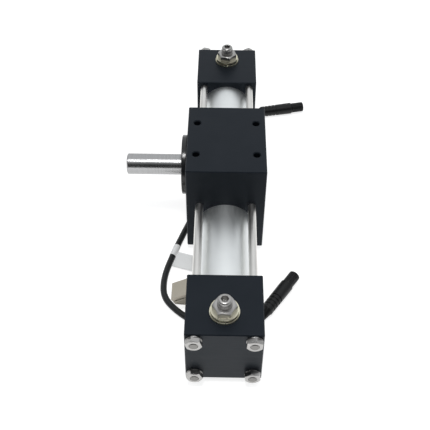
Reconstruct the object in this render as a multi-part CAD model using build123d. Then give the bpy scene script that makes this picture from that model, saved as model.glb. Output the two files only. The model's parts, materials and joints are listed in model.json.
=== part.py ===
from build123d import *
import math
import os

# Pneumatic rotary actuator: a rack driven by two air pistons turns a pinion shaft half a turn.
# Lengths are millimetres and angles are degrees.
# The geometry is laid out in the body frame: x = 0 on the housing's middle plane, the pinion
# axis along X at y = z = 0, the cylinders along Y below it, and +Z up.
# FRAME then moves everything so that the origin is where the free output shaft starts.

# Gear housing
HOUSING_WIDTH = 58.0
HOUSING_LENGTH = 71.8
HOUSING_HEIGHT = 79.2
SHAFT_BELOW_TOP = 26.8
EDGE_BREAK = 0.6
TOP_HOLE_SPACING_X = 44.0
TOP_HOLE_SPACING_Y = 34.6
TOP_HOLE_RADIUS = 2.5
TOP_HOLE_DEPTH = 12.0
TOP_HOLE_MOUTH = 0.7

# Cylinders
CAP_SIDE = 50.8
CAP_LENGTH = 48.4
BORE = 38.1
TUBE_WALL = 1.6
TUBE_EXPOSED = 68.8
TUBE_INSERT = 6.0
GASKET_THICKNESS = 1.0
FIT_GAP = 0.05
SEAL_GAP = 0.02
END_GAP = 0.5
CUT_OVER = 1.0

# Tie rods
ROD_SPACING = 38.6
ROD_RADIUS = 3.0
ROD_THREAD_DEPTH = 12.0
ROD_HOLE_GAP = 0.2
ROD_END_PROUD = 0.3
ROD_END_CHAMFER = 0.5
ROD_WASHER_RADIUS = 5.4
ROD_WASHER_THICKNESS = 0.8
ROD_NUT_ACROSS_FLATS = 10.0
ROD_NUT_HEIGHT = 3.6
HEX_SIDE_COUNT = 6
NUT_FACE_SHARE = 0.92
NUT_BEVEL_ANGLE = 30.0
ROD_NUT_TURNS = (4.0, 22.0, 13.0, 34.0)

# Rack and pinion
GEAR_MODULE = 2.0
PINION_TEETH = 18
PRESSURE_ANGLE = 20.0
DEDENDUM = 1.25
BACKLASH = 0.08
GEAR_FACE = 24.0
RACK_BAR_RADIUS = 13.0
RACK_BORE_GAP = 0.5
RACK_GAPS_EACH_WAY = 6
STROKE_MARGIN = 1.0
RACK_SCREW_DEPTH = 16.0
PAD_WIDTH = 16.0
PAD_LENGTH = 22.0
PAD_BASE = 5.0
PAD_RISE = 3.0
RUNNING_GAP = 0.03

# Output shaft and its bearings
SHAFT_RADIUS = 7.9375
SHAFT_FREE_LENGTH = 40.3
SHAFT_RELIEF_WIDTH = 1.5
SHAFT_RELIEF_DEPTH = 0.2
SHAFT_CHAMFER = 0.8
SHAFT_COLLAR_RADIUS = 9.6
SHAFT_TAIL = 3.2
SHAFT_END_GAP = 1.0
KEYWAY_WIDTH = 4.76
KEYWAY_DEPTH = 2.4
KEYWAY_LENGTH = 28.0
KEYWAY_FROM_END = 4.0
BEARING_OUTER_RADIUS = 17.4625
BEARING_WIDTH = 8.73
BEARING_BALL_RADIUS = 2.78
BEARING_BALL_COUNT = 9
BEARING_RING_GAP = 1.3
GEAR_TO_BEARING = 1.9
RETAINER_RADIUS = 20.9
RETAINER_FLANGE_RADIUS = 22.5
RETAINER_PROUD = 4.1
RETAINER_RIM = 0.9
SPANNER_HOLE_RADIUS = 2.0
SPANNER_HOLE_DEPTH = 4.0
SEAL_OUTER_RADIUS = 14.3
SEAL_WIDTH = 5.0
SHAFT_HOLE_GAP = 0.45

# Pistons
PISTON_LENGTH = 20.0
PISTON_GAP = 0.05
PISTON_EDGE = 0.5
SEAL_GROOVE_FROM_RACK = 2.8
SEAL_GROOVE_WIDTH = 3.2
SEAL_GROOVE_DEPTH = 2.6
WEAR_GROOVE_FROM_RACK = 8.0
WEAR_GROOVE_WIDTH = 4.0
WEAR_GROOVE_DEPTH = 1.2
WEAR_RING_SPLIT = 1.5
MAGNET_GROOVE_FROM_RACK = 14.0
MAGNET_GROOVE_WIDTH = 3.8
MAGNET_GROOVE_DEPTH = 3.0
GROOVE_SIDE_GAP = 0.05
PISTON_SCREW_RADIUS = 4.0

# Cushions and air ports
SPEAR_RADIUS = 6.0
SPEAR_LENGTH = 14.0
SPEAR_NOSE = 1.6
SPEAR_SOCKET = 6.0
SPEAR_SOCKET_DEPTH = 5.0
CUSHION_BORE_RADIUS = 6.6
CUSHION_BORE_DEPTH = 21.0
CUSHION_SEAL_RADIUS = 8.4
CUSHION_SEAL_WIDTH = 3.0
PORT_RADIUS = 4.4
PORT_DEPTH = 11.0
PORT_MOUTH = 0.8
PORT_PASSAGE_RADIUS = 2.4
PASSAGE_RADIUS = 1.6
WELL_RADIUS = 2.6
NEEDLE_FROM_FACE = 17.4
NEEDLE_RADIUS = 4.75
NEEDLE_PROUD = 15.0
NEEDLE_DEPTH = 15.0
NEEDLE_TOP_ROUND = 1.7
NEEDLE_TIP_LENGTH = 6.0
NEEDLE_TIP_RADIUS = 0.8
NEEDLE_SOCKET = 4.76
NEEDLE_SOCKET_DEPTH = 4.5
NEEDLE_NUT_ACROSS_FLATS = 14.3
NEEDLE_NUT_HEIGHT = 4.6
FAR_NEEDLE_NUT_TURN = -12.0
NEAR_NEEDLE_NUT_TURN = 2.0
LOWER_DISC_RADIUS = 9.9
LOWER_DISC_HEIGHT = 1.8
RUBBER_RING_RADIUS = 9.0
RUBBER_RING_HEIGHT = 1.2
UPPER_DISC_RADIUS = 9.3
UPPER_DISC_HEIGHT = 1.2

# Switches, and their brackets on the lower left tie rods, measured from the rod
SWITCH_FROM_CAP = 4.7
SWITCH_LENGTH = 28.0
SWITCH_WIDTH = 10.0
SWITCH_HEIGHT = 7.1
SWITCH_EDGE = 1.2
SWITCH_INSET = 5.0
SWITCH_TUBE_GAP = 0.26
FAR_SWITCH_SHIFT = 12.0
BRACKET_FROM_CAP = 10.7
BRACKET_LENGTH = 15.0
BRACKET_TILT = 29.0
BRACKET_REACH = 16.2
BRACKET_WALL = 1.6
BRACKET_FLOOR = 0.9
BRACKET_SLIT_RISE = 7.5
BRACKET_PLATE = 2.6
BRACKET_NOSE = 3.2
BRACKET_TAPER = 11.0
BRACKET_ROUND = 5.0
BRACKET_SLIT = 1.0
BRACKET_ARM = 2.0
BRACKET_WEB = 2.5
BRACKET_SCREW_RADIUS = 1.5
BRACKET_SCREW_HEAD_RADIUS = 2.75
BRACKET_SCREW_HEAD = 3.0
BRACKET_SCREW_DEPTH = 6.2
BRACKET_SCREW_REACH = 10.2
BRACKET_SCREW_SOCKET = 2.5
BRACKET_SCREW_SOCKET_DEPTH = 1.6

# Leads and plugs, which the actuator lies on
LEAD_DIAMETER = 4.8
LEAD_CLEARANCE = 0.2
PLUG_RADIUS = 5.0
PLUG_LENGTH = 46.5
PLUG_BOOT_LENGTH = 6.5
PLUG_BOOT_RADIUS = 4.3
PLUG_REAR_RADIUS = 4.7
PLUG_EDGE = 0.5
PLUG_HEAD_LENGTH = 5.0
PLUG_GRIP_START = 4.0
PLUG_LEAD_RUN = 11.0
PLUG_GRIP_COUNT = 4
PLUG_GRIP_PITCH = 3.2
PLUG_GRIP_DEPTH = 0.35
PLUG_GRIP_WIDTH = 1.2
COLLAR_LENGTH = 11.0
COLLAR_RADIUS = 4.3
COLLAR_BORE_RADIUS = 3.6
COLLAR_NECK_RADIUS = 3.5
COLLAR_KNURLS = 16
COLLAR_KNURL_RADIUS = 0.35
COLLAR_RECESS = 4.0
COLLAR_EDGE = 0.4
COLLAR_END_GAP = 0.15
COLLAR_KNURL_MARGIN = 1.2
PIN_RADIUS = 0.5
PIN_CIRCLE = 1.6
PIN_COUNT = 3
PIN_PROUD = 3.4
INSERT_RADIUS = 3.2
INSERT_WALL = 0.4
NEAR_PLUG_TIP = (52.9, -64.2)
NEAR_PLUG_HEADING = (0.5625, 0.8268)
FAR_PLUG_TIP = (71.2, 136.6)
FAR_PLUG_HEADING = (0.9764, 0.2160)
LEAD_EXIT_RUN = 10.0
SLEEVE_WALL = 0.15
SLEEVE_FLOOR_GAP = 0.1
SLEEVE_START = 10.5
SLEEVE_LENGTH = 10.5
TAG_LENGTH = 22.0
TAG_WIDTH = 14.5
TAG_THICKNESS = 0.4
TAG_SHIFT = 5.0

# Heights and places that follow from the sizes above
TOP_Z = SHAFT_BELOW_TOP
BASE_Z = TOP_Z - HOUSING_HEIGHT
BORE_RADIUS = BORE / 2
TUBE_RADIUS = BORE_RADIUS + TUBE_WALL
CYLINDER_Z = BASE_Z + CAP_SIDE / 2
CAP_TOP_Z = BASE_Z + CAP_SIDE
FLOOR_Z = BASE_Z - LEAD_DIAMETER - LEAD_CLEARANCE
LEAD_Z = FLOOR_Z + LEAD_DIAMETER / 2
PLUG_Z = FLOOR_Z + PLUG_RADIUS
HALF_WIDTH = HOUSING_WIDTH / 2
HALF_LENGTH = HOUSING_LENGTH / 2
CAP_INNER_Y = HALF_LENGTH + TUBE_EXPOSED
CAP_OUTER_Y = CAP_INNER_Y + CAP_LENGTH
CAP_FLOOR_Y = CAP_INNER_Y + TUBE_INSERT
TUBE_START_Y = HALF_LENGTH - TUBE_INSERT + GASKET_THICKNESS
TUBE_END_Y = CAP_FLOOR_Y - GASKET_THICKNESS
PITCH_RADIUS = GEAR_MODULE * PINION_TEETH / 2
TIP_RADIUS = PITCH_RADIUS + GEAR_MODULE
ROOT_RADIUS = PITCH_RADIUS - DEDENDUM * GEAR_MODULE
TOOTH_PITCH = math.pi * GEAR_MODULE
HALF_TRAVEL = PITCH_RADIUS * math.pi / 2
PISTON_INNER_Y = HALF_LENGTH - TUBE_INSERT + HALF_TRAVEL + STROKE_MARGIN
PISTON_OUTER_Y = PISTON_INNER_Y + PISTON_LENGTH
BEARING_X = GEAR_FACE / 2 + GEAR_TO_BEARING
BEARING_END_X = BEARING_X + BEARING_WIDTH
BALL_CIRCLE = (BEARING_OUTER_RADIUS + SHAFT_RADIUS) / 2
NEEDLE_Y = CAP_OUTER_Y - NEEDLE_FROM_FACE
ROD_NUT_Y = CAP_OUTER_Y + ROD_WASHER_THICKNESS
SHAFT_START_X = -HALF_WIDTH - RETAINER_PROUD - SHAFT_RELIEF_WIDTH
FRAME = Pos(-SHAFT_START_X, 0, 0)

# Routes of the two leads: straight runs between these points, joined by arcs
SWITCH_X = -SWITCH_WIDTH / 2 - SWITCH_INSET
SWITCH_TOP_Z = (
    CYLINDER_Z - math.sqrt(TUBE_RADIUS**2 - SWITCH_INSET**2) - SWITCH_TUBE_GAP
)
SWITCH_Z = SWITCH_TOP_Z - SWITCH_HEIGHT / 2
SWITCH_OUTER_Y = CAP_INNER_Y - SWITCH_FROM_CAP
SWITCH_INNER_Y = SWITCH_OUTER_Y - SWITCH_LENGTH
FAR_LEAD_START_Y = SWITCH_INNER_Y - FAR_SWITCH_SHIFT
FAR_LEAD_POINTS = (
    (SWITCH_X, FAR_LEAD_START_Y, SWITCH_Z),
    (SWITCH_X, FAR_LEAD_START_Y - LEAD_EXIT_RUN, SWITCH_Z),
    (-12.0, 41.0, LEAD_Z),
    (-16.5, 24.0, LEAD_Z),
    (-25.2, -0.5, LEAD_Z),
    (-34.0, -25.0, LEAD_Z),
    (-42.8, -53.5, LEAD_Z),
    (-45.7, -69.0, LEAD_Z),
    (-44.8, -84.0, LEAD_Z),
    (-36.2, -95.4, LEAD_Z),
    (-21.5, -106.5, LEAD_Z),
    (-4.0, -115.5, LEAD_Z),
    (10.0, -116.8, LEAD_Z),
)
NEAR_LEAD_POINTS = (
    (SWITCH_X, -SWITCH_INNER_Y, SWITCH_Z),
    (SWITCH_X, LEAD_EXIT_RUN - SWITCH_INNER_Y, SWITCH_Z),
    (-8.0, -45.5, LEAD_Z),
    (3.0, -27.5, LEAD_Z),
    (14.5, -7.5, LEAD_Z),
    (19.5, 15.0, LEAD_Z),
    (15.5, 37.5, LEAD_Z),
    (6.5, 58.0, LEAD_Z),
    (2.5, 80.0, LEAD_Z),
    (1.6, 97.0, LEAD_Z),
    (4.0, 109.5, LEAD_Z),
    (8.6, 118.6, LEAD_Z),
)
SLEEVE_RUN = 5


def cylinder_x(radius, x0, x1, y=0.0, z=0.0):
    return Pos((x0 + x1) / 2, y, z) * Rot(0, 90, 0) * Cylinder(radius, abs(x1 - x0))


def cylinder_y(radius, y0, y1, x=0.0, z=0.0):
    return Pos(x, (y0 + y1) / 2, z) * Rot(90, 0, 0) * Cylinder(radius, abs(y1 - y0))


def cylinder_z(radius, z0, z1, x=0.0, y=0.0):
    return Pos(x, y, (z0 + z1) / 2) * Cylinder(radius, abs(z1 - z0))


def block(x0, x1, y0, y1, z0, z1):
    centre = Pos((x0 + x1) / 2, (y0 + y1) / 2, (z0 + z1) / 2)
    return centre * Box(abs(x1 - x0), abs(y1 - y0), abs(z1 - z0))


def ring_y(outer, inner, y0, y1, x=0.0, z=CYLINDER_Z):
    return cylinder_y(outer, y0, y1, x, z) - cylinder_y(inner, y0, y1, x, z)


def ring_z(outer, inner, z0, z1, x=0.0, y=0.0):
    return cylinder_z(outer, z0, z1, x, y) - cylinder_z(inner, z0, z1, x, y)


def hexagon(across_flats):
    return RegularPolygon(across_flats / 2, HEX_SIDE_COUNT, major_radius=False)


def hex_socket(across_flats, depth):
    """A hexagonal hole that opens upwards at z = 0."""
    return extrude(hexagon(across_flats), -depth)


def hex_nut(across_flats, height, hole_radius):
    """A nut standing on z = 0, with the corners of its top face turned off."""
    corner_radius = across_flats / 2 / math.cos(math.pi / HEX_SIDE_COUNT)
    bevel_width = corner_radius - NUT_FACE_SHARE * across_flats / 2
    bevel_height = bevel_width * math.tan(math.radians(NUT_BEVEL_ANGLE))
    blank = Pos(0, 0, height / 2) * Cylinder(corner_radius, height)
    top_edge = blank.edges().sort_by(Axis.Z)[-1]
    blank = chamfer(top_edge, bevel_height, bevel_width)
    nut = extrude(hexagon(across_flats), height) & blank
    return nut - Pos(0, 0, height / 2) * Cylinder(hole_radius, 2 * height)


def to_near(shape):
    """The same piece on the cylinder that lies towards -Y."""
    return mirror(shape, about=Plane.XZ)


def rod_places():
    """Cross-section places of the four tie rods."""
    half = ROD_SPACING / 2
    return [(x, CYLINDER_Z + z) for z in (-half, half) for x in (-half, half)]


def top_hole():
    hole = cylinder_z(TOP_HOLE_RADIUS, TOP_Z - TOP_HOLE_DEPTH, TOP_Z)
    mouth = Pos(0, 0, TOP_Z - TOP_HOLE_MOUTH / 2) * Cone(
        TOP_HOLE_RADIUS, TOP_HOLE_RADIUS + TOP_HOLE_MOUTH, TOP_HOLE_MOUTH
    )
    return hole + mouth


def gear_housing():
    body = block(-HALF_WIDTH, HALF_WIDTH, -HALF_LENGTH, HALF_LENGTH, BASE_Z, TOP_Z)
    body = chamfer(body.edges(), EDGE_BREAK)
    gear_room = cylinder_x(RETAINER_RADIUS + FIT_GAP, -HALF_WIDTH, BEARING_X)
    bearing_seat = cylinder_x(BEARING_OUTER_RADIUS, BEARING_X, BEARING_END_X)
    shaft_room = cylinder_x(
        SHAFT_COLLAR_RADIUS, BEARING_END_X, BEARING_END_X + SHAFT_TAIL + SHAFT_END_GAP
    )
    rack_bore = cylinder_y(
        RACK_BAR_RADIUS + RACK_BORE_GAP, -HALF_LENGTH, HALF_LENGTH, 0, CYLINDER_Z
    )
    body = body - gear_room - bearing_seat - shaft_room - rack_bore
    pad_floor = CYLINDER_Z - RACK_BAR_RADIUS - PAD_BASE
    body -= block(
        -PAD_WIDTH / 2, PAD_WIDTH / 2, -PAD_LENGTH / 2, PAD_LENGTH / 2, pad_floor, CYLINDER_Z
    )
    for side in (-1, 1):
        seat_y = side * (HALF_LENGTH - TUBE_INSERT)
        body -= cylinder_y(
            TUBE_RADIUS + FIT_GAP, seat_y, side * HALF_LENGTH, 0, CYLINDER_Z
        )
        for x, z in rod_places():
            thread_y = side * (HALF_LENGTH - ROD_THREAD_DEPTH)
            body -= cylinder_y(ROD_RADIUS, thread_y, side * HALF_LENGTH, x, z)
        for x in (-TOP_HOLE_SPACING_X / 2, TOP_HOLE_SPACING_X / 2):
            body -= Pos(x, side * TOP_HOLE_SPACING_Y / 2, 0) * top_hole()
    return body


def bearing_retainer():
    """Threaded ring that carries the output bearing and the shaft seal."""
    front_x = -HALF_WIDTH - RETAINER_PROUD
    flange = cylinder_x(RETAINER_FLANGE_RADIUS, front_x, -HALF_WIDTH)
    flange = fillet(flange.edges().filter_by(GeomType.CIRCLE), RETAINER_RIM)
    body = flange + cylinder_x(RETAINER_RADIUS, front_x + RETAINER_RIM, -BEARING_X)
    body -= cylinder_x(BEARING_OUTER_RADIUS, -BEARING_END_X, -BEARING_X)
    body -= cylinder_x(SEAL_OUTER_RADIUS, -BEARING_END_X - SEAL_WIDTH, -BEARING_END_X)
    body -= cylinder_x(SHAFT_RADIUS + SHAFT_HOLE_GAP, front_x, -BEARING_END_X)
    spanner_circle = (RETAINER_FLANGE_RADIUS + SHAFT_RADIUS) / 2
    for y in (-spanner_circle, spanner_circle):
        body -= cylinder_x(SPANNER_HOLE_RADIUS, front_x, front_x + SPANNER_HOLE_DEPTH, y)
    return body


def involute_point(base_radius, roll):
    """Point on the involute of a circle, at roll radians of unwinding."""
    x = base_radius * (math.cos(roll) + roll * math.sin(roll))
    y = base_radius * (math.sin(roll) - roll * math.cos(roll))
    return x, y


def pinion_profile():
    """Outline of the pinion, with one tooth centred on the local -Y axis."""
    base_radius = PITCH_RADIUS * math.cos(math.radians(PRESSURE_ANGLE))
    involute_angle = math.tan(math.radians(PRESSURE_ANGLE)) - math.radians(PRESSURE_ANGLE)
    half_tooth = math.pi / (2 * PINION_TEETH) - BACKLASH / (2 * PITCH_RADIUS)
    tip_roll = math.sqrt((TIP_RADIUS / base_radius) ** 2 - 1)
    flank = [involute_point(base_radius, tip_roll * share) for share in (0.0, 0.62, 1.0)]
    outline = []
    for tooth in range(PINION_TEETH):
        middle = 2 * math.pi * tooth / PINION_TEETH - math.pi / 2
        start = middle - half_tooth - involute_angle
        end = middle + half_tooth + involute_angle
        rising = [turned(point, start) for point in flank]
        falling = [turned((x, -y), end) for x, y in reversed(flank)]
        foot_in = polar(ROOT_RADIUS, start)
        foot_out = polar(ROOT_RADIUS, end)
        next_foot = polar(ROOT_RADIUS, start + 2 * math.pi / PINION_TEETH)
        root_middle = polar(ROOT_RADIUS, middle + math.pi / PINION_TEETH)
        outline += [
            Line(foot_in, rising[0]),
            ThreePointArc(*rising),
            ThreePointArc(rising[-1], polar(TIP_RADIUS, middle), falling[0]),
            ThreePointArc(*falling),
            Line(falling[-1], foot_out),
            ThreePointArc(foot_out, root_middle, next_foot),
        ]
    return make_face(outline)


def turned(point, angle):
    x, y = point
    return (
        x * math.cos(angle) - y * math.sin(angle),
        x * math.sin(angle) + y * math.cos(angle),
    )


def polar(radius, angle):
    return radius * math.cos(angle), radius * math.sin(angle)


def pinion_shaft():
    """Output shaft and pinion, cut from one bar."""
    output_end_x = SHAFT_START_X - SHAFT_FREE_LENGTH
    shaft = cylinder_x(SHAFT_RADIUS, output_end_x, BEARING_END_X + SHAFT_TAIL)
    rims = shaft.edges().filter_by(GeomType.CIRCLE)
    shaft = chamfer(rims, SHAFT_CHAMFER)
    relief_end_x = SHAFT_START_X + SHAFT_RELIEF_WIDTH
    relief = cylinder_x(2 * SHAFT_RADIUS, SHAFT_START_X, relief_end_x)
    relief -= cylinder_x(SHAFT_RADIUS - SHAFT_RELIEF_DEPTH, SHAFT_START_X, relief_end_x)
    shaft -= relief
    shaft += cylinder_x(SHAFT_COLLAR_RADIUS, -BEARING_X, BEARING_X)
    gear = extrude(Plane.YZ * pinion_profile(), GEAR_FACE / 2, both=True)
    keyway_x = output_end_x + KEYWAY_FROM_END + KEYWAY_LENGTH / 2
    keyway_floor = Plane(
        origin=(keyway_x, 0, KEYWAY_DEPTH - SHAFT_RADIUS), x_dir=(1, 0, 0), z_dir=(0, 0, -1)
    )
    keyway = extrude(keyway_floor * SlotOverall(KEYWAY_LENGTH, KEYWAY_WIDTH), SHAFT_RADIUS)
    return shaft + gear - keyway


def ring_section(x_middle, inner, outer):
    """Bearing ring section in the XZ plane, with the ball groove cut away."""
    band = Pos(x_middle, (inner + outer) / 2) * Rectangle(BEARING_WIDTH, outer - inner)
    groove = Pos(x_middle, BALL_CIRCLE) * Circle(BEARING_BALL_RADIUS + RUNNING_GAP)
    return Plane.XZ * (band - groove)


def bearing_middles():
    middle = (BEARING_X + BEARING_END_X) / 2
    return (-middle, middle)


def bearing_outer_rings():
    inner = BALL_CIRCLE + BEARING_RING_GAP
    return [
        revolve(ring_section(x, inner, BEARING_OUTER_RADIUS), Axis.X)
        for x in bearing_middles()
    ]


def bearing_inner_rings():
    outer = BALL_CIRCLE - BEARING_RING_GAP
    return [
        revolve(ring_section(x, SHAFT_RADIUS, outer), Axis.X) for x in bearing_middles()
    ]


def bearing_balls():
    balls = []
    for x in bearing_middles():
        for ball in range(BEARING_BALL_COUNT):
            y, z = polar(BALL_CIRCLE, 2 * math.pi * ball / BEARING_BALL_COUNT)
            balls.append(Pos(x, y, z) * Sphere(BEARING_BALL_RADIUS))
    return balls


def shaft_seal():
    """Lip seal behind the retainer's front wall, its open side towards the bearing."""
    back_x = -BEARING_END_X - SEAL_WIDTH
    ring = cylinder_x(SEAL_OUTER_RADIUS, back_x, -BEARING_END_X)
    ring -= cylinder_x(SHAFT_RADIUS + RUNNING_GAP, back_x, -BEARING_END_X)
    wall = SEAL_WIDTH / 3
    groove = cylinder_x(SEAL_OUTER_RADIUS - wall, back_x + wall, -BEARING_END_X)
    groove -= cylinder_x(SHAFT_RADIUS + wall, back_x + wall, -BEARING_END_X)
    return ring - groove


def rack_gap(middle_y):
    """Space between two rack teeth, in local Y and Z measured from the pitch line."""
    slope = math.tan(math.radians(PRESSURE_ANGLE))
    at_pitch = TOOTH_PITCH / 4 + BACKLASH / 2
    depth = DEDENDUM * GEAR_MODULE
    height = GEAR_MODULE + CUT_OVER
    return Polygon(
        (middle_y - at_pitch + slope * depth, -depth),
        (middle_y + at_pitch - slope * depth, -depth),
        (middle_y + at_pitch + slope * height, height),
        (middle_y - at_pitch - slope * height, height),
        align=None,
    )


def rack():
    """Round bar with its top flattened and cut into teeth, drilled at both ends."""
    bar = cylinder_y(RACK_BAR_RADIUS, -PISTON_INNER_Y, PISTON_INNER_Y, 0, CYLINDER_Z)
    flat_half = (RACK_GAPS_EACH_WAY + 1) * TOOTH_PITCH
    pitch_z = -PITCH_RADIUS
    tip_z = pitch_z + GEAR_MODULE
    bar_top = CYLINDER_Z + RACK_BAR_RADIUS
    bar -= block(
        -RACK_BAR_RADIUS, RACK_BAR_RADIUS, -flat_half, flat_half, tip_z, bar_top + CUT_OVER
    )
    pitch_plane = Plane.YZ.offset(-RACK_BAR_RADIUS) * Pos(0, pitch_z)
    for number in range(-RACK_GAPS_EACH_WAY, RACK_GAPS_EACH_WAY + 1):
        gap = rack_gap(number * TOOTH_PITCH)
        bar -= extrude(pitch_plane * gap, 2 * RACK_BAR_RADIUS)
    for side in (-1, 1):
        bar -= cylinder_y(
            PISTON_SCREW_RADIUS,
            side * (PISTON_INNER_Y - RACK_SCREW_DEPTH),
            side * PISTON_INNER_Y,
            0,
            CYLINDER_Z,
        )
    return bar


def rack_pad():
    """Saddle that backs the rack against the push of the pinion."""
    floor_z = CYLINDER_Z - RACK_BAR_RADIUS - PAD_BASE
    half_width = PAD_WIDTH / 2 - FIT_GAP
    half_length = PAD_LENGTH / 2 - FIT_GAP
    top_z = CYLINDER_Z - RACK_BAR_RADIUS + PAD_RISE
    pad = block(-half_width, half_width, -half_length, half_length, floor_z, top_z)
    return pad - cylinder_y(
        RACK_BAR_RADIUS + RUNNING_GAP, -PAD_LENGTH, PAD_LENGTH, 0, CYLINDER_Z
    )


def groove_ring(from_rack, width, depth, outer):
    """A ring that fills one of the piston's grooves."""
    start = PISTON_INNER_Y + from_rack + GROOVE_SIDE_GAP
    end = PISTON_INNER_Y + from_rack + width - GROOVE_SIDE_GAP
    return ring_y(outer, BORE_RADIUS - PISTON_GAP - depth, start, end)


def piston():
    radius = BORE_RADIUS - PISTON_GAP
    body = cylinder_y(radius, PISTON_INNER_Y, PISTON_OUTER_Y, 0, CYLINDER_Z)
    body = chamfer(body.edges().filter_by(GeomType.CIRCLE), PISTON_EDGE)
    grooves = (
        (SEAL_GROOVE_FROM_RACK, SEAL_GROOVE_WIDTH, SEAL_GROOVE_DEPTH),
        (WEAR_GROOVE_FROM_RACK, WEAR_GROOVE_WIDTH, WEAR_GROOVE_DEPTH),
        (MAGNET_GROOVE_FROM_RACK, MAGNET_GROOVE_WIDTH, MAGNET_GROOVE_DEPTH),
    )
    for from_rack, width, depth in grooves:
        start = PISTON_INNER_Y + from_rack
        body -= ring_y(BORE_RADIUS + CUT_OVER, radius - depth, start, start + width)
    return body - cylinder_y(
        PISTON_SCREW_RADIUS, PISTON_INNER_Y, PISTON_OUTER_Y, 0, CYLINDER_Z
    )


def piston_seal():
    return groove_ring(
        SEAL_GROOVE_FROM_RACK, SEAL_GROOVE_WIDTH, SEAL_GROOVE_DEPTH, BORE_RADIUS - SEAL_GAP
    )


def wear_ring():
    band = groove_ring(
        WEAR_GROOVE_FROM_RACK, WEAR_GROOVE_WIDTH, WEAR_GROOVE_DEPTH, BORE_RADIUS - SEAL_GAP
    )
    return band - block(
        -WEAR_RING_SPLIT / 2,
        WEAR_RING_SPLIT / 2,
        PISTON_INNER_Y,
        PISTON_OUTER_Y,
        CYLINDER_Z,
        CYLINDER_Z + BORE,
    )


def magnet_ring():
    return groove_ring(
        MAGNET_GROOVE_FROM_RACK,
        MAGNET_GROOVE_WIDTH,
        MAGNET_GROOVE_DEPTH,
        BORE_RADIUS - 2 * PISTON_GAP,
    )


def cushion_spear():
    """Piston screw whose long round head shuts the cushion bore."""
    tip_y = PISTON_OUTER_Y + SPEAR_LENGTH
    shank_y = PISTON_INNER_Y - RACK_SCREW_DEPTH + END_GAP
    head = cylinder_y(SPEAR_RADIUS, PISTON_OUTER_Y, tip_y, 0, CYLINDER_Z)
    head = chamfer(head.edges().sort_by(Axis.Y)[-1], SPEAR_NOSE, SPEAR_NOSE / 2)
    shank = cylinder_y(PISTON_SCREW_RADIUS, shank_y, PISTON_OUTER_Y, 0, CYLINDER_Z)
    socket = Pos(0, tip_y, CYLINDER_Z) * Rot(-90, 0, 0) * hex_socket(
        SPEAR_SOCKET, SPEAR_SOCKET_DEPTH
    )
    return head + shank - socket


def tube():
    return ring_y(TUBE_RADIUS, BORE_RADIUS, TUBE_START_Y, TUBE_END_Y)


def tube_gaskets():
    """Flat rings that seal both ends of a tube."""
    seats = ((HALF_LENGTH - TUBE_INSERT, TUBE_START_Y), (TUBE_END_Y, CAP_FLOOR_Y))
    return [ring_y(TUBE_RADIUS, BORE_RADIUS, start, end) for start, end in seats]


def end_cap():
    half = CAP_SIDE / 2
    body = block(-half, half, CAP_INNER_Y, CAP_OUTER_Y, BASE_Z, CAP_TOP_Z)
    body = chamfer(body.edges(), EDGE_BREAK)
    body -= cylinder_y(TUBE_RADIUS + FIT_GAP, CAP_INNER_Y, CAP_FLOOR_Y, 0, CYLINDER_Z)
    chamber_end = CAP_FLOOR_Y + CUSHION_BORE_DEPTH
    body -= cylinder_y(CUSHION_BORE_RADIUS, CAP_FLOOR_Y, chamber_end, 0, CYLINDER_Z)
    body -= cylinder_y(
        CUSHION_SEAL_RADIUS, CAP_FLOOR_Y, CAP_FLOOR_Y + CUSHION_SEAL_WIDTH, 0, CYLINDER_Z
    )
    for x, z in rod_places():
        body -= cylinder_y(ROD_RADIUS + ROD_HOLE_GAP, CAP_INNER_Y, CAP_OUTER_Y, x, z)
    return body - air_port() - needle_hole()


def air_port():
    """Tapped port in the cap's +X side, with its way to the cushion bore."""
    half = CAP_SIDE / 2
    port_y = CAP_INNER_Y + CAP_LENGTH / 2
    port = cylinder_x(PORT_RADIUS, half - PORT_DEPTH, half, port_y, CYLINDER_Z)
    mouth = (
        Pos(half - PORT_MOUTH / 2, port_y, CYLINDER_Z)
        * Rot(0, 90, 0)
        * Cone(PORT_RADIUS, PORT_RADIUS + PORT_MOUTH, PORT_MOUTH)
    )
    return port + mouth + cylinder_x(PORT_PASSAGE_RADIUS, 0, half, port_y, CYLINDER_Z)


def needle_hole():
    """Tapped hole of the cushion needle and the two drillings that it throttles."""
    floor_z = CAP_TOP_Z - NEEDLE_DEPTH
    hole = cylinder_z(NEEDLE_RADIUS + FIT_GAP, floor_z, CAP_TOP_Z, 0, NEEDLE_Y)
    low_z = CYLINDER_Z
    well = cylinder_z(WELL_RADIUS, low_z - 2 * PASSAGE_RADIUS, floor_z, 0, NEEDLE_Y)
    to_chamber = cylinder_y(PASSAGE_RADIUS, CAP_FLOOR_Y, NEEDLE_Y, 0, low_z)
    bypass_z = floor_z - 2 * PASSAGE_RADIUS
    to_bore = cylinder_y(PASSAGE_RADIUS, CAP_FLOOR_Y, NEEDLE_Y, 0, bypass_z)
    return hole + well + to_chamber + to_bore


def cushion_seal():
    return ring_y(
        CUSHION_SEAL_RADIUS,
        SPEAR_RADIUS + FIT_GAP,
        CAP_FLOOR_Y,
        CAP_FLOOR_Y + CUSHION_SEAL_WIDTH,
    )


def tie_rods():
    start = HALF_LENGTH - ROD_THREAD_DEPTH
    end = ROD_NUT_Y + ROD_NUT_HEIGHT + ROD_END_PROUD
    rods = []
    for x, z in rod_places():
        rod = cylinder_y(ROD_RADIUS, start, end, x, z)
        rods.append(chamfer(rod.edges().filter_by(GeomType.CIRCLE), ROD_END_CHAMFER))
    return rods


def tie_rod_washers():
    return [
        ring_y(ROD_WASHER_RADIUS, ROD_RADIUS + ROD_HOLE_GAP, CAP_OUTER_Y, ROD_NUT_Y, x, z)
        for x, z in rod_places()
    ]


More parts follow.
